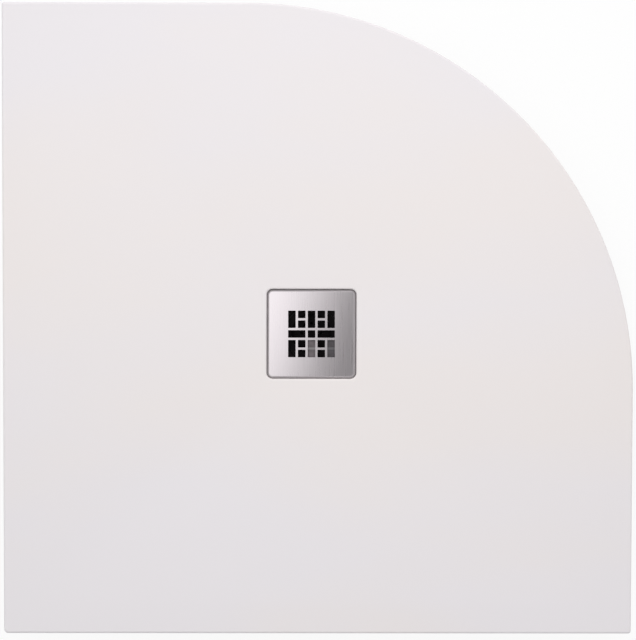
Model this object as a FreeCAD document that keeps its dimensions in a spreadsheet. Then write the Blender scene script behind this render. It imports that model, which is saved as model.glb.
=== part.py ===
import FreeCAD, Part
import math
import os
import Sketcher

# Quadrant shower tray, 900 x 900 mm with a 550 mm front arc, cast in mineral resin,
# with its folded stainless grate and the complete 90 mm waste trap that hangs under it.
# The origin is on the drain's axis at the tray's underside. +Z is up, +X and +Y run
# away from the two walls, so the square corner lies at -X -Y and the arc at +X +Y.
# Heights below are Z values, lengths are millimetres and angles are degrees.

SIZES = [
    # tray casting
    ("tray_side", 900.0),
    ("arc_radius", 550.0),
    ("tray_thickness", 30.0),
    ("wall_corner_round", 6.0),
    ("end_corner_round", 4.0),
    ("edge_soft", 4.0),
    ("drain_to_wall_x", 440.0),
    ("drain_to_wall_y", 430.0),
    ("landing_width", 40.0),
    ("landing_corner_round", 60.0),
    ("floor_fall", 5.5),
    ("recess_depth", 10.5),
    ("waste_hole_radius", 45.0),
    ("recess_edge_soft", 2.5),
    ("trap_seat_depth", 3.5),
    ("trap_seat_margin", 3.0),
    # grate
    ("grate_side", 127.0),
    ("grate_corner_round", 8.0),
    ("grate_gap", 0.5),
    ("grate_sink", 0.3),
    ("grate_sheet", 1.5),
    ("grate_depth", 7.0),
    ("grate_bend_radius", 3.5),
    ("slot_width", 10.8),
    ("slot_bar", 3.2),
    ("slot_round", 0.8),
    ("pad_radius", 6.0),
    ("pad_inset", 12.0),
    # flange that clamps the tray
    ("upper_gasket_thickness", 2.0),
    ("upper_gasket_inset", 3.0),
    ("gasket_gap", 1.0),
    ("flange_overlap", 11.0),
    ("flange_thickness", 3.0),
    ("flange_dish", 1.5),
    ("flange_bevel", 1.5),
    ("hole_clearance", 2.0),
    ("skirt_wall", 3.0),
    ("skirt_length", 14.0),
    ("ledge_drop", 9.0),
    ("ledge_width", 3.5),
    ("ledge_thickness", 3.0),
    ("key_notch_width", 8.0),
    ("key_notch_reach", 3.0),
    # trap body
    ("lower_gasket_thickness", 3.0),
    ("collar_margin", 1.0),
    ("collar_thickness", 4.0),
    ("trap_wall", 3.0),
    ("thread_gap", 0.2),
    ("neck_shoulder", 1.2),
    ("neck_relief", 1.0),
    ("bowl_draft", 1.0),
    ("floor_bevel", 2.0),
    ("gusset_thickness", 2.5),
    ("gusset_drop", 9.0),
    ("outlet_bore_radius", 17.0),
    ("outlet_rise", 4.0),
    # lift-out insert: dip tube, its ring and the seal cup
    ("insert_gap", 1.0),
    ("insert_fit", 0.5),
    ("insert_rim_thickness", 3.0),
    ("insert_wall", 2.0),
    ("bucket_wall", 3.0),
    ("bucket_clearance", 3.0),
    ("funnel_fall", 4.0),
    ("dip_bore_radius", 15.0),
    ("dip_end_depth", 52.0),
    ("ring_section", 1.0),
    ("ring_bevel", 0.5),
    ("ring_gap", 0.1),
    ("cup_clearance", 2.0),
    ("cup_wall", 2.0),
    ("cup_rim_depth", 22.0),
    ("cup_space", 12.0),
    ("cup_collar_height", 10.0),
    ("vane_thickness", 2.0),
    ("bowl_space", 6.0),
    # hair strainer
    ("strainer_rim_thickness", 2.0),
    ("strainer_rim_gap", 1.0),
    ("basket_clearance", 2.5),
    ("basket_depth", 16.0),
    ("basket_wall", 1.5),
    ("basket_slot_width", 3.0),
    ("basket_slot_margin", 3.0),
    ("floor_hole_radius", 2.0),
    ("tab_width", 12.0),
    ("tab_length", 27.0),
    ("tab_thickness", 1.5),
    ("tab_headroom", 2.2),
    ("tab_rib", 1.0),
    ("tab_stalk", 3.0),
    # ball joint and pipe socket of the outlet
    ("ball_distance", 82.0),
    ("ball_radius", 24.0),
    ("ball_gap", 0.6),
    ("ball_mouth", 13.0),
    ("socket_depth", 17.0),
    ("socket_lip", 3.0),
    ("socket_clearance", 0.6),
    ("socket_wall", 4.4),
    ("stub_wall", 3.5),
    ("seal_end", 6.0),
    ("ball_nut_wall", 4.8),
    ("ball_nut_back", 12.0),
    ("ball_nut_front", 12.0),
    ("ball_lip_start", 4.0),
    ("tail_bore_radius", 16.0),
    ("tail_neck_radius", 18.4),
    ("tail_neck_end", 25.0),
    ("tail_flare", 5.0),
    ("pipe_bore_radius", 20.3),
    ("pipe_stop", 28.0),
    ("pipe_depth", 24.0),
    ("pipe_socket_wall", 5.2),
    ("cone_length", 6.0),
    ("cone_spread", 2.7),
    ("pipe_seal_gap", 0.2),
    ("pipe_seal_proud", 2.0),
    ("pipe_washer_thickness", 1.5),
    ("washer_gap", 0.3),
    ("pipe_nut_wall", 4.3),
    ("pipe_nut_back", 16.0),
    ("pipe_nut_lip", 3.5),
    ("nut_bevel", 2.0),
    ("nut_rib_width", 4.0),
    ("nut_rib_height", 1.4),
    ("nut_rib_end", 3.0),
]

KEY_NOTCHES = 4
GUSSETS = 8
VANES = 3
BASKET_SLOTS = 16
FLOOR_HOLES = 8
NUT_RIBS = 10
OVERCUT = 1.0


class Length:
    """A length as the sheet writes it, with its present value beside it."""

    def __init__(self, text, value):
        self.text = text
        self.value = value

    def __add__(self, other):
        other = length(other)
        return Length(f"({self.text} + {other.text})", self.value + other.value)

    def __sub__(self, other):
        other = length(other)
        return Length(f"({self.text} - {other.text})", self.value - other.value)

    def __mul__(self, other):
        other = length(other)
        return Length(f"({self.text} * {other.text})", self.value * other.value)

    def __truediv__(self, other):
        other = length(other)
        return Length(f"({self.text} / {other.text})", self.value / other.value)

    def __neg__(self):
        return Length(f"(0 - {self.text})", -self.value)

    def smaller(self, other):
        other = length(other)
        return Length(f"min({self.text}; {other.text})", min(self.value, other.value))


def length(item):
    if isinstance(item, Length):
        return item
    return Length(f"{item:.6f}", float(item))


def height_on_circle(radius, along):
    """The half chord of a circle at a distance from its centre."""
    text = f"sqrt({radius.text} * {radius.text} - {along.text} * {along.text})"
    return Length(text, math.sqrt(radius.value**2 - along.value**2))


doc = FreeCAD.newDocument("ShowerTray")
sheet = doc.addObject("Spreadsheet::Sheet", "Sizes")


class Sizes:
    """Each driving dimension by its name in the sheet."""


for row, (alias, number) in enumerate(SIZES, start=1):
    sheet.set(f"A{row}", alias)
    sheet.set(f"B{row}", str(number))
    sheet.setAlias(f"B{row}", alias)
    setattr(Sizes, alias, Length(f"Sizes.{alias}", number))
doc.recompute()

ZERO = length(0)
S = Sizes
sub_parts = []


# ---- drawing helpers -------------------------------------------------------------


def origin_feature(body, role):
    return next(item for item in body.Origin.OriginFeatures if item.Role == role)


def new_body(label):
    body = doc.addObject("PartDesign::Body", label)
    body.Label = label
    sub_parts.append(body)
    return body


def bind(item, **values):
    """Ties properties to sheet expressions; a double underscore stands for a dot."""
    for path, value in values.items():
        item.setExpression(path.replace("__", "."), value.text)


def rounded(corners):
    """Points and arcs of an outline whose right-angled corners each have a radius."""
    points = []
    arcs = {}
    for index, (x, y, radius) in enumerate(corners):
        before = corners[index - 1]
        after = corners[(index + 1) % len(corners)]
        if abs(before[0].value - x.value) > abs(before[1].value - y.value):
            side = math.copysign(1, before[0].value - x.value)
            points.append((x + radius * side, y))
            side = math.copysign(1, after[1].value - y.value)
            points.append((x, y + radius * side))
        else:
            side = math.copysign(1, before[1].value - y.value)
            points.append((x, y + radius * side))
            side = math.copysign(1, after[0].value - x.value)
            points.append((x + radius * side, y))
        arcs[len(points) - 2] = radius
    return points, arcs


def arc_between(start, end, radius):
    """A circle's arc from start to end, turning left, or right for a negative radius."""
    first, last = (start, end) if radius > 0 else (end, start)
    middle = (first + last) * 0.5
    chord = last - first
    rise = math.sqrt(max(radius * radius - chord.Length**2 / 4, 0.0))
    left = FreeCAD.Vector(-chord.y, chord.x, 0).normalize()
    centre = middle + left * rise
    circle = Part.Circle(centre, FreeCAD.Vector(0, 0, 1), abs(radius))
    angles = [math.atan2(p.y - centre.y, p.x - centre.x) for p in (first, last)]
    return Part.ArcOfCircle(circle, angles[0], angles[1])


def new_sketch(body, name, role, up=None, across=None):
    """A sketch on one of the body's own planes, moved off it by up or along it."""
    sketch = body.newObject("Sketcher::SketchObject", name)
    sketch.AttachmentSupport = [(origin_feature(body, role), "")]
    sketch.MapMode = "FlatFace"
    if up is not None:
        bind(sketch, AttachmentOffset__Base__z=up)
    if across is not None:
        bind(sketch, AttachmentOffset__Base__y=across)
    return sketch


def draw(sketch, points, arcs=None):
    """A closed outline whose every corner is held to the sheet. arcs gives the edge that
    starts at a corner a radius, negative where the outline turns right along it."""
    arcs = arcs or {}
    places = [FreeCAD.Vector(x.value, y.value, 0) for x, y in points]
    edges = []
    for index, place in enumerate(places):
        following = places[(index + 1) % len(places)]
        radius = arcs.get(index)
        if radius is None:
            edges.append((sketch.addGeometry(Part.LineSegment(place, following)), 1, 2))
            continue
        arc = sketch.addGeometry(arc_between(place, following, radius.value))
        edges.append((arc, 1, 2) if radius.value > 0 else (arc, 2, 1))
    for index, (edge, start, end) in enumerate(edges):
        following = edges[(index + 1) % len(edges)]
        sketch.addConstraint(Sketcher.Constraint("Coincident", edge, end, *following[:2]))
    for index, (edge, start, end) in enumerate(edges):
        for kind, value in zip(("DistanceX", "DistanceY"), points[index]):
            rule = Sketcher.Constraint(kind, -1, 1, edge, start, value.value)
            number = sketch.addConstraint(rule)
            sketch.setExpression(f"Constraints[{number}]", value.text)
        radius = arcs.get(index)
        if radius is not None:
            size = radius if radius.value > 0 else -radius
            number = sketch.addConstraint(Sketcher.Constraint("Radius", edge, size.value))
            sketch.setExpression(f"Constraints[{number}]", size.text)


def draw_circle(sketch, x, y, radius):
    centre = FreeCAD.Vector(x.value, y.value, 0)
    circle = Part.Circle(centre, FreeCAD.Vector(0, 0, 1), radius.value)
    ring = sketch.addGeometry(circle)
    for kind, value in (("DistanceX", x), ("DistanceY", y)):
        number = sketch.addConstraint(Sketcher.Constraint(kind, -1, 1, ring, 3, value.value))
        sketch.setExpression(f"Constraints[{number}]", value.text)
    number = sketch.addConstraint(Sketcher.Constraint("Radius", ring, radius.value))
    sketch.setExpression(f"Constraints[{number}]", radius.text)


def box_points(x, y, width, depth):
    """The corners of a rectangle by its centre and its two sizes."""
    left, right = x - width / 2, x + width / 2
    near, far = y - depth / 2, y + depth / 2
    return [(left, near), (right, near), (right, far), (left, far)]


def rounded_box(sketch, x, y, width, depth, radius):
    corners = [(px, py, radius) for px, py in box_points(x, y, width, depth)]
    draw(sketch, *rounded(corners))


def extrude(body, kind, sketch, amount, backwards=False):
    feature = body.newObject(f"PartDesign::{kind}", f"{sketch.Name}_{kind.lower()}")
    feature.Profile = sketch
    bind(feature, Length=amount)
    feature.Reversed = backwards
    sketch.Visibility = False
    return feature


def turn(body, kind, sketch, axis="V_Axis"):
    feature = body.newObject(f"PartDesign::{kind}", f"{sketch.Name}_{kind.lower()}")
    feature.Profile = sketch
    feature.ReferenceAxis = (sketch, [axis])
    feature.Angle = 360.0
    return feature


def revolve(body, name, points, arcs=None, kind="Revolution"):
    """A profile of (radius, height) corners turned round the body's Z axis."""
    sketch = new_sketch(body, name, "XZ_Plane")
    draw(sketch, points, arcs)
    return turn(body, kind, sketch)


def soften(body, feature, name, radius, wanted, kind="Fillet"):
    """Rounds or bevels the edges of a feature that wanted picks."""
    doc.recompute()
    edges = enumerate(feature.Shape.Edges, start=1)
    names = [f"Edge{number}" for number, edge in edges if wanted(edge)]
    item = body.newObject(f"PartDesign::{kind}", name)
    item.Base = (feature, names)
    bind(item, **{"Radius" if kind == "Fillet" else "Size": radius})
    return item


def ring_of(body, feature, count):
    """Repeats a feature evenly round the body's Z axis."""
    doc.recompute()
    pattern = body.newObject("PartDesign::PolarPattern", f"{feature.Name}_ring")
    pattern.Originals = [feature]
    pattern.Axis = (origin_feature(body, "Z_Axis"), [""])
    pattern.Angle = 360.0
    pattern.Occurrences = count
    body.Tip = pattern
    return pattern


def row_of(body, feature, spacing, count):
    """Repeats a feature along the body's X axis."""
    doc.recompute()
    pattern = body.newObject("PartDesign::LinearPattern", f"{feature.Name}_row")
    pattern.Originals = [feature]
    pattern.Direction = (origin_feature(body, "X_Axis"), [""])
    bind(pattern, Length=spacing * (count - 1))
    pattern.Occurrences = count
    body.Tip = pattern
    return pattern


def flat_ring(label, inner, outer, base, thickness):
    body = new_body(label)
    top = base + thickness
    points = [(inner, base), (outer, base), (outer, top), (inner, top)]
    revolve(body, f"{label}_section", points)
    return body


def level(edge, height, tolerance=0.01):
    """True for an edge that lies wholly at one height."""
    box = edge.BoundBox
    return abs(box.ZMin - height) < tolerance and abs(box.ZMax - height) < tolerance


def point_outlet(body):
    """Turns a body that was drawn upright so that its axis runs along the outlet."""
    body.Placement.Rotation = FreeCAD.Rotation(FreeCAD.Vector(0, 1, 0), -90)
    bind(body, Placement__Base__x=-S.ball_distance, Placement__Base__z=outlet_height)


# ---- heights and radii that several pieces share -----------------------------------

wall_x = -S.drain_to_wall_x
wall_y = -S.drain_to_wall_y
end_x = wall_x + S.tray_side
end_y = wall_y + S.tray_side
recess_rim = S.tray_thickness - S.floor_fall
recess_side = S.grate_side + S.grate_gap * 2
recess_round = S.grate_corner_round + S.grate_gap
grate_top = recess_rim - S.grate_sink
grate_underside = grate_top - S.grate_sheet
clamp_thickness = recess_rim - S.recess_depth

flange_base = clamp_thickness + S.upper_gasket_thickness
flange_top = flange_base + S.flange_thickness
flange_radius = S.waste_hole_radius + S.flange_overlap
skirt_radius = S.waste_hole_radius - S.hole_clearance
throat_radius = skirt_radius - S.skirt_wall
ledge_top = flange_base - S.ledge_drop
ledge_bore = throat_radius - S.ledge_width

insert_rim_radius = throat_radius - S.insert_gap
insert_top = ledge_top + S.insert_rim_thickness
insert_radius = ledge_bore - S.insert_fit
bucket_radius = insert_radius - S.bucket_wall
dip_radius = S.dip_bore_radius + S.insert_wall
basket_radius = bucket_radius - S.basket_clearance
basket_bottom = insert_top - S.basket_depth
bucket_floor = basket_bottom - S.bucket_clearance
strainer_top = insert_top + S.strainer_rim_thickness

cup_radius = insert_radius - S.cup_clearance
cup_bore = cup_radius - S.cup_wall
cup_floor = -(S.dip_end_depth + S.cup_space)
cup_bottom = cup_floor - S.cup_wall

collar_radius = flange_radius + S.collar_margin
collar_top = S.trap_seat_depth - S.lower_gasket_thickness
collar_base = collar_top - S.collar_thickness
neck_bore = skirt_radius + S.thread_gap
neck_radius = neck_bore + S.trap_wall
bowl_bore = neck_bore - S.neck_shoulder
bowl_radius = bowl_bore + S.trap_wall
bowl_foot = bowl_radius - S.bowl_draft
neck_end = -(S.skirt_length + S.neck_relief)
bowl_floor = cup_bottom - S.bowl_space
bowl_bottom = bowl_floor - S.trap_wall
outlet_height = bowl_floor + S.outlet_rise + S.outlet_bore_radius

socket_bore = S.ball_radius + S.socket_clearance
socket_radius = socket_bore + S.socket_wall
socket_shoulder = S.ball_distance - S.socket_depth
stub_radius = S.outlet_bore_radius + S.stub_wall
ball_clear = S.ball_radius + S.ball_gap
nut_thread = socket_radius + S.thread_gap
nut_radius = nut_thread + S.ball_nut_wall
tail_socket_radius = S.pipe_bore_radius + S.pipe_socket_wall
cone_start = S.pipe_stop + S.pipe_depth
tail_end = cone_start + S.cone_length
pipe_seal_end = tail_end + S.pipe_seal_proud
pipe_washer_end = pipe_seal_end + S.pipe_washer_thickness
pipe_clear = S.pipe_bore_radius + S.pipe_seal_gap
pipe_nut_thread = tail_socket_radius + S.thread_gap
pipe_nut_radius = pipe_nut_thread + S.pipe_nut_wall
pipe_nut_end = pipe_washer_end + S.pipe_nut_lip


# ---- tray and grate ------------------------------------------------------------------


def quadrant(margin, wall_round, end_round):
    """The tray's outline drawn in by a margin: three square corners and the big arc."""
    left, near = wall_x + margin, wall_y + margin
    right, far = end_x - margin, end_y - margin
    return rounded([
        (left, near, wall_round),
        (right, near, end_round),
        (right, far, S.arc_radius - margin),
        (left, far, end_round),
    ])


def make_tray():
    """One cast slab: level landing, hipped fall to the drain, grate recess, waste hole
    and, underneath, the shallow seat of the trap's gasket."""
    body = new_body("tray_body")
    outline = new_sketch(body, "tray_outline", "XY_Plane")
    draw(outline, *quadrant(ZERO, S.wall_corner_round, S.end_corner_round))
    slab = extrude(body, "Pad", outline, S.tray_thickness)
    soft = S.edge_soft.smaller(S.end_corner_round * 0.9)
    soften(body, slab, "tray_soft_edge", soft, lambda e: level(e, S.tray_thickness.value))

    high = new_sketch(body, "fall_top", "XY_Plane", up=S.tray_thickness)
    inner = quadrant(S.landing_width, S.landing_corner_round, S.landing_corner_round)
    draw(high, *inner)
    low = new_sketch(body, "fall_foot", "XY_Plane", up=recess_rim)
    rounded_box(low, ZERO, ZERO, recess_side, recess_side, recess_round)
    fall = body.newObject("PartDesign::SubtractiveLoft", "tray_fall")
    fall.Profile = high
    fall.Sections = [(low, [""])]
    fall.Ruled = True

    recess = new_sketch(body, "grate_recess", "XY_Plane", up=recess_rim)
    rounded_box(recess, ZERO, ZERO, recess_side, recess_side, recess_round)
    seat = extrude(body, "Pocket", recess, recess_rim - clamp_thickness)
    reach = recess_side.value / 2 + 1

    def on_rim(edge):
        box = edge.BoundBox
        near = max(-box.XMin, box.XMax, -box.YMin, box.YMax) < reach
        return near and level(edge, recess_rim.value)

    rim = soften(body, seat, "recess_soft_edge", S.recess_edge_soft, on_rim)
    hole = new_sketch(body, "waste_hole", "XY_Plane", up=clamp_thickness)
    draw_circle(hole, ZERO, ZERO, S.waste_hole_radius)
    body.Tip = rim
    extrude(body, "Pocket", hole, clamp_thickness + OVERCUT)
    seat_below = new_sketch(body, "trap_seat", "XY_Plane")
    draw_circle(seat_below, ZERO, ZERO, collar_radius + S.trap_seat_margin)
    extrude(body, "Pocket", seat_below, S.trap_seat_depth, True)
    return body


def make_grate():
    """Stainless sheet with folded sides and a five by five field of cut slots."""
    body = new_body("grate_plate")
    base = grate_top - S.grate_depth
    outline = new_sketch(body, "grate_outline", "XY_Plane", up=base)
    side = S.grate_side
    rounded_box(outline, ZERO, ZERO, side, side, S.grate_corner_round)
    block = extrude(body, "Pad", outline, S.grate_depth)
    bend = S.grate_bend_radius.smaller(S.grate_corner_round * 0.9)
    top_edges = lambda e: level(e, grate_top.value)
    soften(body, block, "grate_outer_bend", bend, top_edges)
    inside = new_sketch(body, "grate_inside", "XY_Plane", up=base)
    clear = side - S.grate_sheet * 2
    rounded_box(inside, ZERO, ZERO, clear, clear, S.grate_corner_round - S.grate_sheet)
    hollow = extrude(body, "Pocket", inside, S.grate_depth - S.grate_sheet, True)
    inner_bend = bend - S.grate_sheet
    soften(body, hollow, "grate_inner_bend", inner_bend,
           lambda e: level(e, grate_underside.value))

    pitch = S.slot_width + S.slot_bar
    long_slot = S.slot_width + pitch

    def slots(name, places):
        sketch = new_sketch(body, name, "XY_Plane", up=grate_top)
        for x, y, width, depth in places:
            rounded_box(sketch, pitch * x, pitch * y, width, depth, S.slot_round)
        return extrude(body, "Pocket", sketch, S.grate_sheet + OVERCUT)

    one = S.slot_width
    tall = slots("tall_slots", [(-2, 1.5, one, long_slot), (-2, -1.5, one, long_slot)])
    row_of(body, tall, pitch * 2, 3)
    square = slots("square_slots", [(-1, y, one, one) for y in (-2, -1, 1, 2)])
    row_of(body, square, pitch * 2, 2)
    slots("middle_slots", [
        (-1.5, 0, long_slot, one),
        (0, 0, one, one),
        (1.5, 0, long_slot, one),
    ])
    return body


def make_grate_pads():
    """Four rubber feet in the grate's corners, standing on the recess floor."""
    place = S.grate_side / 2 - S.pad_inset
    pads = []
    for name, side_x, side_y in (("a", -1, -1), ("b", 1, -1), ("c", 1, 1), ("d", -1, 1)):
        pad = doc.addObject("Part::Cylinder", f"pad_{name}")
        bind(pad, Radius=S.pad_radius, Height=grate_underside - clamp_thickness)
        bind(pad, Placement__Base__x=place * side_x, Placement__Base__y=place * side_y)
        bind(pad, Placement__Base__z=clamp_thickness)
        pads.append(pad)
    group = doc.addObject("Part::MultiFuse", "grate_pads")
    group.Shapes = pads
    group.Label = "grate_pads"
    sub_parts.append(group)
    return group


# ---- waste flange and trap body ----------------------------------------------------


def make_flange():
    """Screwed ring that clamps the tray; its skirt holds the ledge for the insert."""
    body = new_body("waste_flange")
    bevel = S.flange_bevel
    ledge_low = ledge_top - S.ledge_thickness
    revolve(body, "flange_section", [
        (throat_radius, flange_top - S.flange_dish),
        (throat_radius, ledge_top),
        (ledge_bore, ledge_top),
        (ledge_bore, ledge_low),
        (throat_radius, ledge_low - S.ledge_width),
        (throat_radius, -S.skirt_length),
        (skirt_radius, -S.skirt_length),
        (skirt_radius, flange_base),
        (flange_radius, flange_base),
        (flange_radius, flange_top - bevel),
        (flange_radius - bevel, flange_top),
        (flange_radius - bevel * 3, flange_top),
    ])
    notch = new_sketch(body, "key_notch", "XY_Plane", up=flange_top)
    reach = S.key_notch_reach * 2
    draw(notch, box_points(throat_radius, ZERO, reach, S.key_notch_width))
    cut = extrude(body, "Pocket", notch, S.flange_thickness)
    ring_of(body, cut, KEY_NOTCHES)
    return body


def make_gaskets():
    """Flat rubber rings above and below the tray round its waste hole."""
    inner = S.waste_hole_radius + S.gasket_gap
    flat_ring("upper_gasket", inner, flange_radius - S.upper_gasket_inset,
              clamp_thickness, S.upper_gasket_thickness)
    flat_ring("lower_gasket", inner, collar_radius - S.gasket_gap, collar_top,
              S.lower_gasket_thickness)


def make_trap_collar():
    """Clamping collar with its threaded neck and a ring of gussets."""
    body = new_body("trap_collar")
    revolve(body, "collar_section", [
        (neck_bore, neck_end),
        (neck_radius, neck_end),
        (neck_radius, collar_base),
        (collar_radius, collar_base),
        (collar_radius, collar_top),
        (neck_bore, collar_top),
    ])
    web = new_sketch(body, "gusset", "XZ_Plane")
    root = neck_radius - S.trap_wall / 2
    rib_end = collar_radius - S.trap_wall
    draw(web, [
        (root, collar_base + S.collar_thickness / 2),
        (root, collar_base - S.gusset_drop),
        (neck_radius, collar_base - S.gusset_drop),
        (rib_end, collar_base),
        (rib_end, collar_base + S.collar_thickness / 2),
    ])
    gusset = extrude(body, "Pad", web, S.gusset_thickness)
    gusset.Midplane = True
    ring_of(body, gusset, GUSSETS)
    return body


def bowl_side():
    """The bowl's tapered outer side, from its foot up to its rim."""
    return [
        (bowl_foot, bowl_floor),
        (bowl_radius, neck_end - S.trap_wall),
        (neck_radius, neck_end),
    ]


def make_trap_bowl():
    """Tapered bowl wall with the outlet's hole, and the floor plate welded under it."""
    body = new_body("trap_bowl")
    revolve(body, "bowl_section", bowl_side() + [
        (bowl_bore, neck_end),
        (bowl_foot - S.trap_wall, bowl_floor),
    ])
    hole = new_sketch(body, "bowl_outlet", "YZ_Plane")
    draw_circle(hole, ZERO, outlet_height, S.outlet_bore_radius)
    extrude(body, "Pocket", hole, neck_radius)

    floor = new_body("trap_floor")
    revolve(floor, "floor_section", [
        (ZERO, bowl_bottom),
        (bowl_foot - S.floor_bevel, bowl_bottom),
        (bowl_foot, bowl_bottom + S.floor_bevel),
        (bowl_foot, bowl_floor),
        (ZERO, bowl_floor),
    ])


def make_outlet_socket():
    """Stub on the bowl's side that widens to the threaded socket of the ball."""
    body = new_body("outlet_socket")
    mouth = S.ball_distance + S.socket_lip
    inner_end = bowl_bore - S.trap_wall
    section = new_sketch(body, "socket_section", "XZ_Plane", across=outlet_height)
    draw(section, [
        (-inner_end, S.outlet_bore_radius),
        (-inner_end, stub_radius),
        (-(socket_shoulder - S.socket_wall), stub_radius),
        (-socket_shoulder, socket_radius),
        (-mouth, socket_radius),
        (-mouth, socket_bore),
        (-socket_shoulder, socket_bore),
        (-socket_shoulder, S.outlet_bore_radius),
    ])
    turn(body, "Revolution", section, "H_Axis")
    fitted_end = bowl_side() + [(ZERO, neck_end), (ZERO, bowl_floor)]
    revolve(body, "fitted_end", fitted_end, kind="Groove")
    return body


# ---- lift-out insert and hair strainer ---------------------------------------------


def make_dip_tube():
    """Bucket that hangs on the flange's ledge and narrows to the dip tube."""
    body = new_body("dip_tube")
    groove = ledge_top - S.ledge_thickness / 2
    half = S.ring_section
    funnel = bucket_floor - S.funnel_fall
    dip_end = -S.dip_end_depth
    revolve(body, "dip_section", [
        (bucket_radius, insert_top),
        (bucket_radius, bucket_floor),
        (S.dip_bore_radius, funnel),
        (S.dip_bore_radius, dip_end),
        (dip_radius, dip_end),
        (dip_radius, funnel - S.insert_wall),
        (insert_radius, bucket_floor - S.insert_wall),
        (insert_radius, ledge_top),
        (insert_rim_radius, ledge_top),
        (insert_rim_radius, insert_top),
    ])
    cut = new_sketch(body, "ring_groove", "XZ_Plane")
    deep = insert_radius + S.insert_fit - S.ring_gap - half * 2
    draw(cut, [
        (deep, groove - half),
        (insert_radius + OVERCUT, groove - half),
        (insert_radius + OVERCUT, groove + half),
        (deep, groove + half),
    ])
    turn(body, "Groove", cut)
    return body


def make_insert_ring():
    """Rubber lip ring in the insert's groove, sealing it to the ledge."""
    body = new_body("insert_ring")
    middle = ledge_bore - S.ring_gap - S.ring_section
    height = ledge_top - S.ledge_thickness / 2
    half = S.ring_section
    edge = half - S.ring_bevel
    revolve(body, "insert_ring_section", [
        (middle - half, height - half),
        (middle + edge, height - half),
        (middle + half, height - edge),
        (middle + half, height + edge),
        (middle + edge, height + half),
        (middle - half, height + half),
    ])
    return body


def make_seal_cup():
    """Cup that holds the water seal, carried by three vanes on a collar on the tube."""
    body = new_body("seal_cup")
    rim = -S.cup_rim_depth
    revolve(body, "cup_section", [
        (ZERO, cup_bottom),
        (cup_radius, cup_bottom),
        (cup_radius, rim),
        (cup_bore, rim),
        (cup_bore, cup_floor),
        (ZERO, cup_floor),
    ])
    vane_foot = -(S.dip_end_depth - S.cup_wall)
    vane = new_sketch(body, "vane", "XY_Plane", up=vane_foot)
    inner = dip_radius + S.cup_wall / 2
    outer = cup_bore + S.cup_wall / 2
    width = outer - inner
    draw(vane, box_points(inner + width / 2, ZERO, width, S.vane_thickness))
    ring_of(body, extrude(body, "Pad", vane, S.cup_collar_height), VANES)
    collar = S.cup_wall + dip_radius
    revolve(body, "cup_collar", [
        (dip_radius, vane_foot),
        (collar, vane_foot),
        (collar, vane_foot + S.cup_collar_height),
        (dip_radius, vane_foot + S.cup_collar_height),
    ])
    return body


def make_strainer():
    """Basket that catches hair: slotted wall, drilled floor and a rim on the insert."""
    body = new_body("hair_strainer")
    inside = basket_radius - S.basket_wall
    floor = basket_bottom + S.basket_wall
    rim = insert_rim_radius - S.strainer_rim_gap
    revolve(body, "basket_section", [
        (ZERO, basket_bottom),
        (basket_radius, basket_bottom),
        (basket_radius, insert_top),
        (rim, insert_top),
        (rim, strainer_top),
        (inside, strainer_top),
        (inside, floor),
        (ZERO, floor),
    ])
    low = floor + S.basket_slot_margin
    high = insert_top - S.basket_slot_margin
    slot = new_sketch(body, "basket_slot", "YZ_Plane")
    draw(slot, box_points(ZERO, (low + high) / 2, S.basket_slot_width, high - low))
    cut = extrude(body, "Pocket", slot, basket_radius + OVERCUT, True)
    ring_of(body, cut, BASKET_SLOTS)
    hole = new_sketch(body, "floor_hole", "XY_Plane", up=floor)
    draw_circle(hole, ZERO, inside / 2, S.floor_hole_radius)
    ring_of(body, extrude(body, "Pocket", hole, S.basket_wall + OVERCUT), FLOOR_HOLES)
    return body


def make_strainer_tabs():
    """Two pale lifting tabs on stalks, each under its own tall slot of the grate."""
    pitch = S.slot_width + S.slot_bar
    tab_top = grate_underside - S.tab_headroom
    plate_base = tab_top - S.tab_thickness
    floor = basket_bottom + S.basket_wall
    tabs = []
    for name, across, foot in (("middle", ZERO, floor), ("side", pitch * 2, strainer_top)):
        blocks = [
            ("plate", across, S.tab_width, S.tab_length, plate_base, S.tab_thickness),
            ("rib", across, S.tab_width, S.slot_bar, tab_top, S.tab_rib),
            ("stalk", across, S.tab_stalk, S.tab_stalk * 2, foot, plate_base - foot),
        ]
        for kind, x, width, depth, base, rise in blocks:
            block = doc.addObject("Part::Box", f"{name}_tab_{kind}")
            bind(block, Length=width, Width=depth, Height=rise)
            bind(block, Placement__Base__x=x - width / 2, Placement__Base__z=base)
            bind(block, Placement__Base__y=-(pitch * 1.5) - depth / 2)
            tabs.append(block)
    group = doc.addObject("Part::MultiFuse", "strainer_tabs")
    group.Shapes = tabs
    group.Label = "strainer_tabs"
    sub_parts.append(group)
    return group


# ---- outlet: drawn upright round the ball's centre, then turned to the wall ---------


def make_ball_seal():
    """Rubber seat between the socket's shoulder and the ball."""
    body = new_body("ball_seal")
    near = -S.seal_end
    inner_height = -(S.ball_mouth + OVERCUT)
    inner = height_on_circle(ball_clear, inner_height)
    outer = height_on_circle(ball_clear, near)
    revolve(body, "ball_seal_section", [
        (inner, -S.socket_depth),
        (socket_bore, -S.socket_depth),
        (socket_bore, near),
        (outer, near),
        (inner, inner_height),
    ])
    point_outlet(body)
    return body


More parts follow.
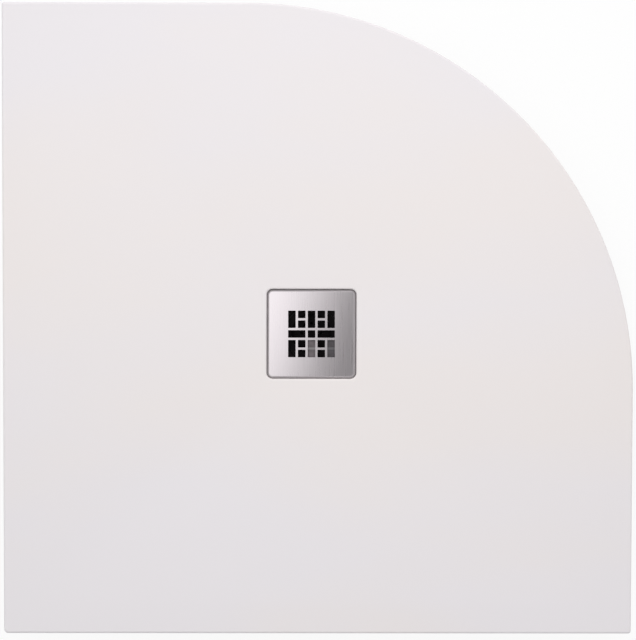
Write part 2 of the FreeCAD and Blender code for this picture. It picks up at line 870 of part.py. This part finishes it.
def make_ball_nut():
    """Ribbed union nut whose conical lip holds the ball in its socket."""
    body = new_body("ball_nut")
    front = S.ball_nut_front
    lip_end = front - OVERCUT
    lip_inner = height_on_circle(ball_clear, lip_end)
    lip_outer = height_on_circle(ball_clear, S.ball_lip_start)
    revolve(body, "ball_nut_section", [
        (nut_thread, -S.ball_nut_back),
        (nut_radius, -S.ball_nut_back),
        (nut_radius, front - S.nut_bevel),
        (nut_radius - S.nut_bevel, front),
        (lip_inner + OVERCUT, front),
        (lip_inner, lip_end),
        (lip_outer, S.ball_lip_start),
        (nut_thread, S.ball_lip_start),
    ])
    add_ribs(body, nut_radius, -S.ball_nut_back, front - S.nut_bevel)
    point_outlet(body)
    return body


def add_ribs(body, radius, low, high):
    """Grip ribs along a nut's outside."""
    rib = new_sketch(body, f"{body.Name}_rib", "XY_Plane", up=low)
    root = radius - S.nut_rib_height
    tip = radius + S.nut_rib_height
    draw(rib, box_points((root + tip) / 2, ZERO, tip - root, S.nut_rib_width))
    rise = high - low - S.nut_rib_end
    ring_of(body, extrude(body, "Pad", rib, rise), NUT_RIBS)


def make_outlet_tail():
    """Hollow ball, neck and pipe socket in one moulding."""
    body = new_body("outlet_tail")
    ball_end = height_on_circle(S.ball_radius, S.ball_mouth)
    neck_start = height_on_circle(S.ball_radius, S.tail_neck_radius)
    flare_end = S.tail_neck_end + S.tail_flare
    revolve(body, "tail_section", [
        (S.tail_bore_radius, -S.ball_mouth),
        (ball_end, -S.ball_mouth),
        (S.tail_neck_radius, neck_start),
        (S.tail_neck_radius, S.tail_neck_end),
        (tail_socket_radius, flare_end),
        (tail_socket_radius, tail_end),
        (S.pipe_bore_radius + S.cone_spread, tail_end),
        (S.pipe_bore_radius, cone_start),
        (S.pipe_bore_radius, S.pipe_stop),
        (S.tail_bore_radius, S.pipe_stop),
    ], {1: S.ball_radius})
    point_outlet(body)
    return body


def make_pipe_fitting():
    """Cone seal, slip washer and ribbed nut that grip the waste pipe."""
    seal = new_body("pipe_seal")
    slope = S.cone_spread / S.cone_length
    start = cone_start + S.pipe_seal_gap / slope
    revolve(seal, "pipe_seal_section", [
        (pipe_clear, start),
        (S.pipe_bore_radius + S.cone_spread, tail_end),
        (S.pipe_bore_radius + S.cone_spread, pipe_seal_end),
        (pipe_clear, pipe_seal_end),
    ])
    point_outlet(seal)
    washer_radius = pipe_nut_thread - S.washer_gap
    washer = flat_ring("pipe_washer", pipe_clear, washer_radius, pipe_seal_end,
                       S.pipe_washer_thickness)
    point_outlet(washer)
    nut = new_body("pipe_nut")
    back = tail_end - S.pipe_nut_back
    revolve(nut, "pipe_nut_section", [
        (pipe_nut_thread, back),
        (pipe_nut_radius, back),
        (pipe_nut_radius, pipe_nut_end - S.nut_bevel),
        (pipe_nut_radius - S.nut_bevel, pipe_nut_end),
        (pipe_clear, pipe_nut_end),
        (pipe_clear, pipe_washer_end),
        (pipe_nut_thread, pipe_washer_end),
    ])
    add_ribs(nut, pipe_nut_radius, back, pipe_nut_end - S.nut_bevel)
    point_outlet(nut)


make_tray()
make_grate()
make_grate_pads()
make_flange()
make_gaskets()
make_trap_collar()
make_trap_bowl()
make_outlet_socket()
make_dip_tube()
make_insert_ring()
make_seal_cup()
make_strainer()
make_strainer_tabs()
make_ball_seal()
make_ball_nut()
make_outlet_tail()
make_pipe_fitting()

doc.recompute()
for item in doc.Objects:
    if "Invalid" in item.State or "Error" in item.State:
        raise RuntimeError(f"{item.Name} could not be built: {item.State}")
for item in sub_parts:
    if item.Shape.isNull() or not item.Shape.isValid():
        raise RuntimeError(f"{item.Label} has no sound shape")

os.makedirs("parts", exist_ok=True)
for item in sub_parts:
    item.Shape.exportStep(f"parts/{item.Label}.step")
    solids = len(item.Shape.Solids)
    print(f"{item.Label:16s} {solids} solid(s) {item.Shape.Volume / 1000:10.2f} cm3")
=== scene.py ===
import math

import bmesh
import bpy
from mathutils import Matrix, Vector


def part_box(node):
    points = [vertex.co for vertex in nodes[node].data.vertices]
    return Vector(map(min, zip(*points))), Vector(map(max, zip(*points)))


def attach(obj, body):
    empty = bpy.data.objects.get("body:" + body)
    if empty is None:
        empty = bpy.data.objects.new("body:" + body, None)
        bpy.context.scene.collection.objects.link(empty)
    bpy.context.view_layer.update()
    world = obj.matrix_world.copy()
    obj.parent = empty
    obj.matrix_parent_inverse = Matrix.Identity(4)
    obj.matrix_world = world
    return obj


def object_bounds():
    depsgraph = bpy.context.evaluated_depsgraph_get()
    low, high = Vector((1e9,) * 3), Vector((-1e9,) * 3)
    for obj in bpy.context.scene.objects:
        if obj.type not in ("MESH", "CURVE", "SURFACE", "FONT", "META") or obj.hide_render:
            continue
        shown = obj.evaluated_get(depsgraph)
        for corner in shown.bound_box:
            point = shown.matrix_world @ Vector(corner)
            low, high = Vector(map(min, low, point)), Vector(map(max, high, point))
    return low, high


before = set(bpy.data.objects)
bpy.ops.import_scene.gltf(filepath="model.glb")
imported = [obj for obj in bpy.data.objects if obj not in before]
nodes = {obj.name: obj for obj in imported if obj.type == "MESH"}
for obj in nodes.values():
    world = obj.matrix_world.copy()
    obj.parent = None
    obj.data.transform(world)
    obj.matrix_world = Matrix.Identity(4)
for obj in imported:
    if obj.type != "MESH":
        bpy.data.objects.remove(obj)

# A quadrant shower tray cast in mineral resin, its slotted steel grate and the trap below it.
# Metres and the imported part's own frame: the drain's axis is X = Y = 0, the underside is Z = 0.

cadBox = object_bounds()
millimetre = 0.001
grainDetail = 3.0  # octaves of the finishes' noise; finer ones don't show in the render
flowDetail = 1.0
# a mix node's sockets share their names, so they are called by their places
numberA, numberB, mixedNumber = 2, 3, 0
colourA, colourB, mixedColour = 6, 7, 2


def linearColour(hexText):  # sRGB hex to the linear numbers that a socket takes
    channels = [int(hexText[at:at + 2], 16) / 255 for at in (0, 2, 4)]
    curve = [c / 12.92 if c <= 0.04045 else ((c + 0.055) / 1.055) ** 2.4 for c in channels]
    return (*curve, 1.0)


def perMetre(sizeMm):  # a texture's scale for a pattern whose repeat is this long
    return 1 / (sizeMm * millimetre)


def addNode(tree, kind, settings=None, links=None):
    # one node: settings go to its properties or sockets, "stops" to its ramp, links feed it
    node = tree.nodes.new(kind)
    for key, value in (settings or {}).items():
        if key == "stops":
            ramp = node.color_ramp.elements
            while len(ramp) < len(value):
                ramp.new(0.5)  # anywhere between the two it starts with; placed just below
            for stop, (place, colour) in zip(ramp, value):
                stop.position = place
                stop.color = linearColour(colour)
        elif isinstance(key, str) and hasattr(node, key):
            setattr(node, key, value)
        else:
            node.inputs[key].default_value = value
    for key, source in (links or {}).items():
        tree.links.new(source, node.inputs[key])
    return node


def startMaterial(name, settings):
    # a new material that holds its shader and the output
    material = bpy.data.materials.new(name)
    material.use_nodes = True
    tree = material.node_tree
    tree.nodes.clear()
    shader = addNode(tree, "ShaderNodeBsdfPrincipled", settings)
    addNode(tree, "ShaderNodeOutputMaterial", links={"Surface": shader.outputs["BSDF"]})
    return material, tree, shader


def grainBump(tree, place, sizeMm, depthMm, stretch=(1, 1, 1), under=None):
    # a noise grain whose repeat is sizeMm, drawn out along an axis where stretch is under 1
    laid = addNode(tree, "ShaderNodeMapping", {"Scale": stretch}, {"Vector": place})
    grain = addNode(tree, "ShaderNodeTexNoise", {
        "Scale": perMetre(sizeMm), "Detail": grainDetail}, {"Vector": laid.outputs["Vector"]})
    links = {"Height": grain.outputs["Fac"]}
    if under is not None:
        links["Normal"] = under
    bump = addNode(tree, "ShaderNodeBump", {"Distance": depthMm * millimetre}, links)
    return bump.outputs["Normal"], grain.outputs["Fac"]


gelcoat = {
    "cool": "e8e4e7",
    "mid": "e9e4e5",  # a warm white, a shade yellower where the cloud and the band run higher
    "warm": "eae4e3",
    "tintAt": (0.34, 0.5, 0.68),  # how much of the cloud and the band gives the cool, middle and warm white
    "cloudMm": 240,
    "cloudStretch": (0.4, 1, 1),
    "bandYMm": 60,  # a soft band across the drain is a shade warmer, and far from it a shade cooler
    "bandEdgeMm": (110, 330),  # how far from there it starts to fade and is gone
    "bandShift": 0.10,  # how much the band adds to the cloud, or takes from it far away
    "peelMm": 4.0,  # the mould's orange peel; the real one is nearer 1 mm, too fine to show
    "peelDeepMm": 0.012,
    "rawBack": "c9c4bb",
    "rawFacing": -0.9,  # faces that look down more steeply than this are the raw back
    "roughness": 0.48,
    "ior": 1.5,
}


def mineralGelcoat():
    # mineral-filled resin cast face down on a waxed mould: a dense matte skin with a soft
    # sheen, clouded very faintly by the filler; the back was scraped level and stays raw
    material, tree, shader = startMaterial("cast mineral resin, matte gelcoat", {
        "Roughness": gelcoat["roughness"], "IOR": gelcoat["ior"]})
    place = addNode(tree, "ShaderNodeTexCoord").outputs["Object"]
    laid = addNode(tree, "ShaderNodeMapping", {"Scale": gelcoat["cloudStretch"]},
                   {"Vector": place})
    cloud = addNode(tree, "ShaderNodeTexNoise", {
        "Scale": perMetre(gelcoat["cloudMm"]), "Detail": grainDetail},
        {"Vector": laid.outputs["Vector"]})

    along = addNode(tree, "ShaderNodeSeparateXYZ", links={"Vector": place}).outputs["Y"]
    off = addNode(tree, "ShaderNodeMath", {
        "operation": "SUBTRACT", 1: gelcoat["bandYMm"] * millimetre}, {0: along})
    far = addNode(tree, "ShaderNodeMath", {"operation": "ABSOLUTE"}, {0: off.outputs["Value"]})
    near, away = gelcoat["bandEdgeMm"]
    band = addNode(tree, "ShaderNodeMapRange", {
        "From Min": away * millimetre, "To Min": -gelcoat["bandShift"],
        "From Max": near * millimetre, "To Max": gelcoat["bandShift"],
        "interpolation_type": "SMOOTHSTEP"}, {"Value": far.outputs["Value"]})
    cloudAndBand = addNode(tree, "ShaderNodeMath", {"operation": "ADD"}, {
        0: cloud.outputs["Fac"], 1: band.outputs["Result"]})
    whites = (gelcoat["cool"], gelcoat["mid"], gelcoat["warm"])
    tint = addNode(tree, "ShaderNodeValToRGB", {"stops": list(zip(gelcoat["tintAt"], whites))},
                   {"Fac": cloudAndBand.outputs["Value"]})

    facing = addNode(tree, "ShaderNodeSeparateXYZ", links={
        "Vector": addNode(tree, "ShaderNodeNewGeometry").outputs["Normal"]})
    down = addNode(tree, "ShaderNodeMath", {
        "operation": "LESS_THAN", 1: gelcoat["rawFacing"]}, {0: facing.outputs["Z"]})
    colour = addNode(tree, "ShaderNodeMix", {
        "data_type": "RGBA", colourB: linearColour(gelcoat["rawBack"])},
        {"Factor": down.outputs["Value"], colourA: tint.outputs["Color"]})
    tree.links.new(colour.outputs[mixedColour], shader.inputs["Base Color"])

    normal = grainBump(tree, place, gelcoat["peelMm"], gelcoat["peelDeepMm"])[0]
    tree.links.new(normal, shader.inputs["Normal"])
    return material


steel = {
    "colour": "cec8cb",
    "grooveShade": "bfb9bc",  # painted shade: the brushed grooves between the crests are drawn a shade darker
    "lineMm": 1.6,  # brushing lines; the real ones are about 0.1 mm, drawn coarse to show
    "lineStretch": (1, 0.03, 1),
    "lineDeepMm": 0.010,
    "polished": 0.24,
    "dull": 0.33,
    "bend": "b9b4b6",  # the bent rim is painted a darker grey, as painted shade where it turns down; out of the belt's reach it is blasted and dull
    "bendDull": 0.8,
    "bendFrom": 0.998,  # how far up a face looks where the rim starts, and where it is full
    "bendTo": 0.94,
    "crown": (-0.78, -0.42),  # metres of rise per square metre along X and Y: the pressed
    # sheet is crowned by a hair, drawn much stronger here so that it runs bright to dark
}


def brushedStainless():
    # austenitic sheet, belt-brushed from front to back after pressing: reflections smear
    # across the lines, and the crowned sheet runs from bright to dark over its width
    material, tree, shader = startMaterial("stainless steel sheet, brushed", {"Metallic": 1.0})
    place = addNode(tree, "ShaderNodeTexCoord").outputs["Object"]
    squares = addNode(tree, "ShaderNodeVectorMath", {"operation": "MULTIPLY"},
                      {0: place, 1: place})
    dish = addNode(tree, "ShaderNodeVectorMath", {
        "operation": "DOT_PRODUCT", 1: (*steel["crown"], 0.0)}, {0: squares.outputs["Vector"]})
    crowned = addNode(tree, "ShaderNodeBump", {"Distance": 1.0},  # the height is in metres
                      {"Height": dish.outputs["Value"]})
    normal, grain = grainBump(tree, place, steel["lineMm"], steel["lineDeepMm"],
                              steel["lineStretch"], crowned.outputs["Normal"])
    tree.links.new(normal, shader.inputs["Normal"])

    up = addNode(tree, "ShaderNodeSeparateXYZ", links={
        "Vector": addNode(tree, "ShaderNodeNewGeometry").outputs["Normal"]}).outputs["Z"]
    rim = addNode(tree, "ShaderNodeMapRange", {
        "From Min": steel["bendFrom"], "From Max": steel["bendTo"]}, {"Value": up})
    shine = addNode(tree, "ShaderNodeMapRange", {
        "To Min": steel["polished"], "To Max": steel["dull"]}, {"Value": grain})
    matte = addNode(tree, "ShaderNodeMix", {"data_type": "FLOAT", numberB: steel["bendDull"]}, {
        "Factor": rim.outputs["Result"], numberA: shine.outputs["Result"]})
    tree.links.new(matte.outputs[mixedNumber], shader.inputs["Roughness"])

    # painted shade: the grain's low parts take the darker groove colour
    face = addNode(tree, "ShaderNodeMix", {
        "data_type": "RGBA", colourA: linearColour(steel["grooveShade"]),
        colourB: linearColour(steel["colour"])}, {"Factor": grain})
    # painted shade: the bent rim turns to the darker grey
    tone = addNode(tree, "ShaderNodeMix", {
        "data_type": "RGBA", colourB: linearColour(steel["bend"])},
        {"Factor": rim.outputs["Result"], colourA: face.outputs[mixedColour]})
    tree.links.new(tone.outputs[mixedColour], shader.inputs["Base Color"])
    return material


blackPlastic = {  # satin black: soft highlights show its form
    "colour": "110f10",
    "shade": "0b0a0b",  # where the melt flowed slower
    "flowMm": 30,
    "grainMm": 0.9,
    "grainDeepMm": 0.02,
    "roughness": 0.5,
    "ior": 1.54,
    "sheen": 0.3,
}
# down in the drain the black is painted darker and its sheen turned down, as painted shade of the
# drain's depth, and the tabs are paler by their pigment
drainPlastic = dict(blackPlastic, colour="0b0709", shade="070405", sheen=0.07)
tabPlastic = dict(blackPlastic, colour="71696d", shade="625c5e", flowMm=9)
trapPlastic = {  # waxy off-white, with a wide soft highlight
    "colour": "d6d5cf",
    "shade": "cbc9c2",
    "flowMm": 45,
    "grainMm": 1.2,
    "grainDeepMm": 0.03,
    "roughness": 0.46,
    "ior": 1.49,
    "sheen": 0.5,
}
sealRubber = {  # dull, with the grey bloom that wax leaves on a new seal
    "colour": "2a2a2b",
    "shade": "171718",
    "flowMm": 12,
    "grainMm": 1.4,
    "grainDeepMm": 0.05,
    "roughness": 0.82,
    "ior": 1.52,
    "sheen": 0.5,
}
flowAt = (0.35, 0.65)  # where the flow's noise is all shade, and where it is all colour


def moulded(name, look):
    # a moulding: one even colour with a spark-eroded texture off the tool and slow flow
    # shades where the melt filled the mould
    material, tree, shader = startMaterial(name, {
        "Roughness": look["roughness"], "IOR": look["ior"],
        "Specular IOR Level": look["sheen"]})
    place = addNode(tree, "ShaderNodeTexCoord").outputs["Object"]
    flow = addNode(tree, "ShaderNodeTexNoise", {
        "Scale": perMetre(look["flowMm"]), "Detail": flowDetail}, {"Vector": place})
    tint = addNode(tree, "ShaderNodeValToRGB", {
        "stops": list(zip(flowAt, (look["shade"], look["colour"])))},
        {"Fac": flow.outputs["Fac"]})
    tree.links.new(tint.outputs["Color"], shader.inputs["Base Color"])
    normal = grainBump(tree, place, look["grainMm"], look["grainDeepMm"])[0]
    tree.links.new(normal, shader.inputs["Normal"])
    return material


tabLightAndShade = {
    "fromMm": 10,  # along X from the drain's axis: where the painted shade on the right tab starts and is full
    "toMm": 18,
    "right": "b9bdbe",  # painted shade: what is left of the plastic's own colour on the right tab
    "ribFootMm": 20.55,  # height over the tray's underside; the rib above it is painted paler, as painted light
    "rib": "ffffff",
    "ribRubbed": 0.11,
}


def paintTabLightAndShade(material):
    # the tab on the right is painted darker, as painted shade, and the pull ribs are painted
    # paler than the plates, as painted light
    tree = material.node_tree
    shader = next(n for n in tree.nodes if n.type == "BSDF_PRINCIPLED")
    plain = shader.inputs["Base Color"].links[0].from_socket
    axes = addNode(tree, "ShaderNodeSeparateXYZ", links={
        "Vector": addNode(tree, "ShaderNodeTexCoord").outputs["Object"]})
    high = addNode(tree, "ShaderNodeMath", {
        "operation": "GREATER_THAN", 1: tabLightAndShade["ribFootMm"] * millimetre}, {0: axes.outputs["Z"]})
    # painted light: the tops of the pull ribs are mixed towards white
    litRibMask = addNode(tree, "ShaderNodeMath", {
        "operation": "MULTIPLY", 1: tabLightAndShade["ribRubbed"]}, {0: high.outputs["Value"]})
    withRibLight = addNode(tree, "ShaderNodeMix", {
        "data_type": "RGBA", colourB: linearColour(tabLightAndShade["rib"])},
        {"Factor": litRibMask.outputs["Value"], colourA: plain})
    # painted shade: the tab on the right is multiplied darker
    right = addNode(tree, "ShaderNodeMapRange", {
        "From Min": tabLightAndShade["fromMm"] * millimetre, "From Max": tabLightAndShade["toMm"] * millimetre},
        {"Value": axes.outputs["X"]})
    withRightShade = addNode(tree, "ShaderNodeMix", {
        "data_type": "RGBA", "blend_type": "MULTIPLY", colourB: linearColour(tabLightAndShade["right"])},
        {"Factor": right.outputs["Result"], colourA: withRibLight.outputs[mixedColour]})
    tree.links.new(withRightShade.outputs[mixedColour], shader.inputs["Base Color"])


resin = mineralGelcoat()
stainless = brushedStainless()
blackAbs = moulded("ABS, moulded, black", blackPlastic)
drainAbs = moulded("ABS, moulded, black, with painted drain shade", drainPlastic)
paleAbs = moulded("ABS, moulded, pale grey", tabPlastic)
paintTabLightAndShade(paleAbs)
polypropylene = moulded("polypropylene, moulded, off-white", trapPlastic)
rubber = moulded("EPDM rubber, moulded", sealRubber)

finishes = {
    "tray_body": resin,
    "grate_plate": stainless,
    "grate_pads": rubber,
    "waste_flange": drainAbs,
    "upper_gasket": rubber,
    "lower_gasket": rubber,
    "trap_collar": polypropylene,
    "trap_bowl": polypropylene,
    "trap_floor": polypropylene,
    "outlet_socket": polypropylene,
    "ball_seal": rubber,
    "dip_tube": blackAbs,
    "insert_ring": rubber,
    "seal_cup": blackAbs,
    "hair_strainer": drainAbs,
    "strainer_tabs": paleAbs,
    "ball_nut": blackAbs,
    "outlet_tail": polypropylene,
    "pipe_seal": rubber,
    "pipe_washer": polypropylene,
    "pipe_nut": blackAbs,
}
for node, material in finishes.items():
    for slot in nodes[node].material_slots:
        slot.material = material
print("dressed", len(finishes), "nodes")


# the outlet's threads show beside its two nuts; the CAD has plain cylinders there

tailLow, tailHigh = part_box("outlet_tail")
socketLow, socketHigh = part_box("outlet_socket")
axisHeight = (tailLow.z + tailHigh.z) / 2

pipeThread = {
    "nutEdge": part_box("pipe_nut")[1].x,
    "radius": (tailHigh.z - tailLow.z) / 2,
    "fromMm": 10.5,  # how far behind the nut's edge the ridge starts and ends
    "toMm": 0.9,
    "pitchMm": 3.0,
    "heightMm": 1.1,
}
socketThread = {
    "nutEdge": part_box("ball_nut")[1].x,
    "radius": (socketHigh.z - socketLow.z) / 2,
    "fromMm": 4.2,
    "toMm": 1.0,
    "pitchMm": 2.0,
    "heightMm": 0.8,
}
ridge = {
    "footShare": 0.8,  # the foot's width as a share of the pitch, the crest's of the foot
    "crestShare": 0.35,
    "sunkMm": 0.2,  # how deep the foot lies in the wall that carries it
    "risePerTurn": 3.0,  # the ridge reaches its full height in a third of a turn
    "leastRise": 0.02,
    "stepsPerTurn": 72,
}


def threadRidge(name, thread):
    # one helical ridge along -X round the outlet's axis, fading out at both ends
    start = thread["nutEdge"] + thread["fromMm"] * millimetre
    end = thread["nutEdge"] + thread["toMm"] * millimetre
    pitch = thread["pitchMm"] * millimetre
    turns = (start - end) / pitch
    steps = round(turns * ridge["stepsPerTurn"])
    foot = pitch * ridge["footShare"] / 2
    crest = foot * ridge["crestShare"]
    root = thread["radius"] - ridge["sunkMm"] * millimetre

    mesh = bmesh.new()
    rings = []
    for step in range(steps + 1):
        share = step / steps
        angle = share * turns * math.tau
        fromEnd = min(share, 1 - share) * turns
        rise = max(min(1.0, fromEnd * ridge["risePerTurn"]), ridge["leastRise"])
        top = thread["radius"] + thread["heightMm"] * millimetre * rise
        along = start + (end - start) * share
        section = [(along + foot, root), (along + crest, top),
                   (along - crest, top), (along - foot, root)]
        rings.append([mesh.verts.new((x, r * math.sin(angle), axisHeight + r * math.cos(angle)))
                      for x, r in section])
    for before, after in zip(rings, rings[1:]):
        for side in range(len(before)):
            following = (side + 1) % len(before)
            mesh.faces.new((before[side], before[following], after[following], after[side]))
    mesh.faces.new(reversed(rings[0]))
    mesh.faces.new(rings[-1])
    bmesh.ops.recalc_face_normals(mesh, faces=mesh.faces)

    data = bpy.data.meshes.new(name)
    mesh.to_mesh(data)
    mesh.free()
    data.materials.append(polypropylene)
    piece = bpy.data.objects.new(name, data)
    bpy.context.scene.collection.objects.link(piece)
    return piece


for name, thread, body in (("pipe_thread", pipeThread, "outlet"),
                           ("socket_thread", socketThread, "tray")):
    piece = threadRidge(name, thread)
    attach(piece, body)
print("cut the outlet's threads")


lookingRays = ("Is Camera Ray", "Is Glossy Ray", "Is Transmission Ray")


def anyLook(tree):  # 1 where the camera, a gloss or glass looks, and 0 where light is gathered
    rays = addNode(tree, "ShaderNodeLightPath").outputs
    found = rays[lookingRays[0]]
    for kind in lookingRays[1:]:
        found = addNode(tree, "ShaderNodeMath", {"operation": "MAXIMUM"},
                        {0: found, 1: rays[kind]}).outputs["Value"]
    return found


floorLook = {
    "size": 40.0,
    "colour": "f4f4f4",
    "roughness": 0.9,
    "whiteShare": 0.90,  # how much of it is plain white to the eye; the rest takes shadow
}


def floorPaint():
    # painted studio floor: white to the camera, to gloss and through glass, with its shadow
    material, tree, shader = startMaterial("studio floor, matt white paint", {
        "Base Color": linearColour(floorLook["colour"]), "Roughness": floorLook["roughness"]})
    share = addNode(tree, "ShaderNodeMath", {
        "operation": "MULTIPLY", 1: floorLook["whiteShare"]}, {0: anyLook(tree)})
    white = addNode(tree, "ShaderNodeEmission", {"Strength": 1.0})
    blend = addNode(tree, "ShaderNodeMixShader", links={
        0: share.outputs["Value"], 1: shader.outputs["BSDF"], 2: white.outputs["Emission"]})
    output = next(n for n in tree.nodes if n.type == "OUTPUT_MATERIAL")
    tree.links.new(blend.outputs["Shader"], output.inputs["Surface"])
    return material


def makeFloor():
    half = floorLook["size"] / 2
    low = cadBox[0][2]
    corners = [(-half, -half, low), (half, -half, low), (half, half, low), (-half, half, low)]
    data = bpy.data.meshes.new("studio_floor")
    data.from_pydata(corners, [], [(0, 1, 2, 3)])
    data.materials.append(floorPaint())
    floor = bpy.data.objects.new("studio_floor", data)
    bpy.context.scene.collection.objects.link(floor)


room = {
    "wall": 0.595,  # the walls' light at the sides, lighter towards +Y, darker towards -Y
    "wallLean": 0.32,
    "wallWhite": 0.985,  # how white the walls look, the same as the floor does
    "ceilingBright": 1.97,  # the ceiling over the drain, bright on the left, dark on the right
    "ceilingDark": 0.18,
    "ceilingWay": (-1.0, 0.5, 0.0),  # towards its bright side
    "ceilingSpread": 0.26,
    "ceilingEdge": (0.80, 0.95),  # the sine of the height where wall turns to ceiling
}


def makeWorld():
    # walls that light softly and look plain white, under a ceiling from bright to dark
    world = bpy.data.worlds.new("studio")
    world.use_nodes = True
    tree = world.node_tree
    tree.nodes.clear()
    way = addNode(tree, "ShaderNodeTexCoord").outputs["Generated"]
    axes = addNode(tree, "ShaderNodeSeparateXYZ", links={"Vector": way})
    wall = addNode(tree, "ShaderNodeMath", {
        "operation": "MULTIPLY_ADD", 1: room["wallLean"], 2: room["wall"]},
        {0: axes.outputs["Y"]})
    seenWall = addNode(tree, "ShaderNodeMix", {
        "data_type": "FLOAT", numberB: room["wallWhite"]}, {
        "Factor": anyLook(tree), numberA: wall.outputs["Value"]})
    lean = addNode(tree, "ShaderNodeVectorMath", {
        "operation": "DOT_PRODUCT", 1: room["ceilingWay"]}, {0: way})
    ceiling = addNode(tree, "ShaderNodeMapRange", {
        "From Min": -room["ceilingSpread"], "From Max": room["ceilingSpread"],
        "To Min": room["ceilingDark"], "To Max": room["ceilingBright"],
        "interpolation_type": "SMOOTHSTEP"}, {"Value": lean.outputs["Value"]})
    wallTop, ceilingFoot = room["ceilingEdge"]
    height = addNode(tree, "ShaderNodeMapRange", {
        "From Min": wallTop, "From Max": ceilingFoot}, {"Value": axes.outputs["Z"]})
    strength = addNode(tree, "ShaderNodeMix", {"data_type": "FLOAT"}, {
        "Factor": height.outputs["Result"], numberA: seenWall.outputs[mixedNumber],
        numberB: ceiling.outputs["Result"]})
    light = addNode(tree, "ShaderNodeBackground", {"Color": (1.0, 1.0, 1.0, 1.0)},
                    {"Strength": strength.outputs[mixedNumber]})
    addNode(tree, "ShaderNodeOutputWorld", links={"Surface": light.outputs["Background"]})
    bpy.context.scene.world = world


def aimAt(place, target):
    # the matrix of an object that looks from place to target, with +Y upwards in its view
    back = (Vector(place) - Vector(target)).normalized()
    right = Vector((0, 1, 0)).cross(back).normalized()
    turned = Matrix((right, back.cross(right), back)).transposed()
    return Matrix.Translation(place) @ turned.to_4x4()


softbox = {
    "watts": 14.5,
    "size": (1.6, 1.2),
    "place": (0.10, 0.90, 1.78),
    "aim": (0, 0, 0),
}


def makeSoftbox():
    lamp = bpy.data.lights.new("softbox", "AREA")
    lamp.shape = "RECTANGLE"
    lamp.size, lamp.size_y = softbox["size"]
    lamp.energy = softbox["watts"]
    light = bpy.data.objects.new("softbox", lamp)
    light.matrix_world = aimAt(softbox["place"], softbox["aim"])
    light.visible_camera = False
    light.visible_glossy = False
    bpy.context.scene.collection.objects.link(light)


viewpoint = {  # straight above, a little towards the round side, as the photograph was taken
    "lensMm": 85.0,
    "eye": (-0.0044, 0.0859, 2.1828),
    "aim": (0.0092, 0.0202, 0.030),
    "rollDegrees": 0.135,
    "farthest": 100.0,
}


def makeCamera():
    lens = bpy.data.cameras.new("camera")
    lens.lens = viewpoint["lensMm"]
    lens.clip_end = viewpoint["farthest"]
    camera = bpy.data.objects.new("camera", lens)
    roll = Matrix.Rotation(math.radians(viewpoint["rollDegrees"]), 4, "Z")
    camera.matrix_world = aimAt(viewpoint["eye"], viewpoint["aim"]) @ roll
    bpy.context.scene.collection.objects.link(camera)
    bpy.context.scene.camera = camera


makeFloor()
makeWorld()
makeSoftbox()
makeCamera()
bpy.context.scene.view_settings.view_transform = "Standard"
print("set the studio")
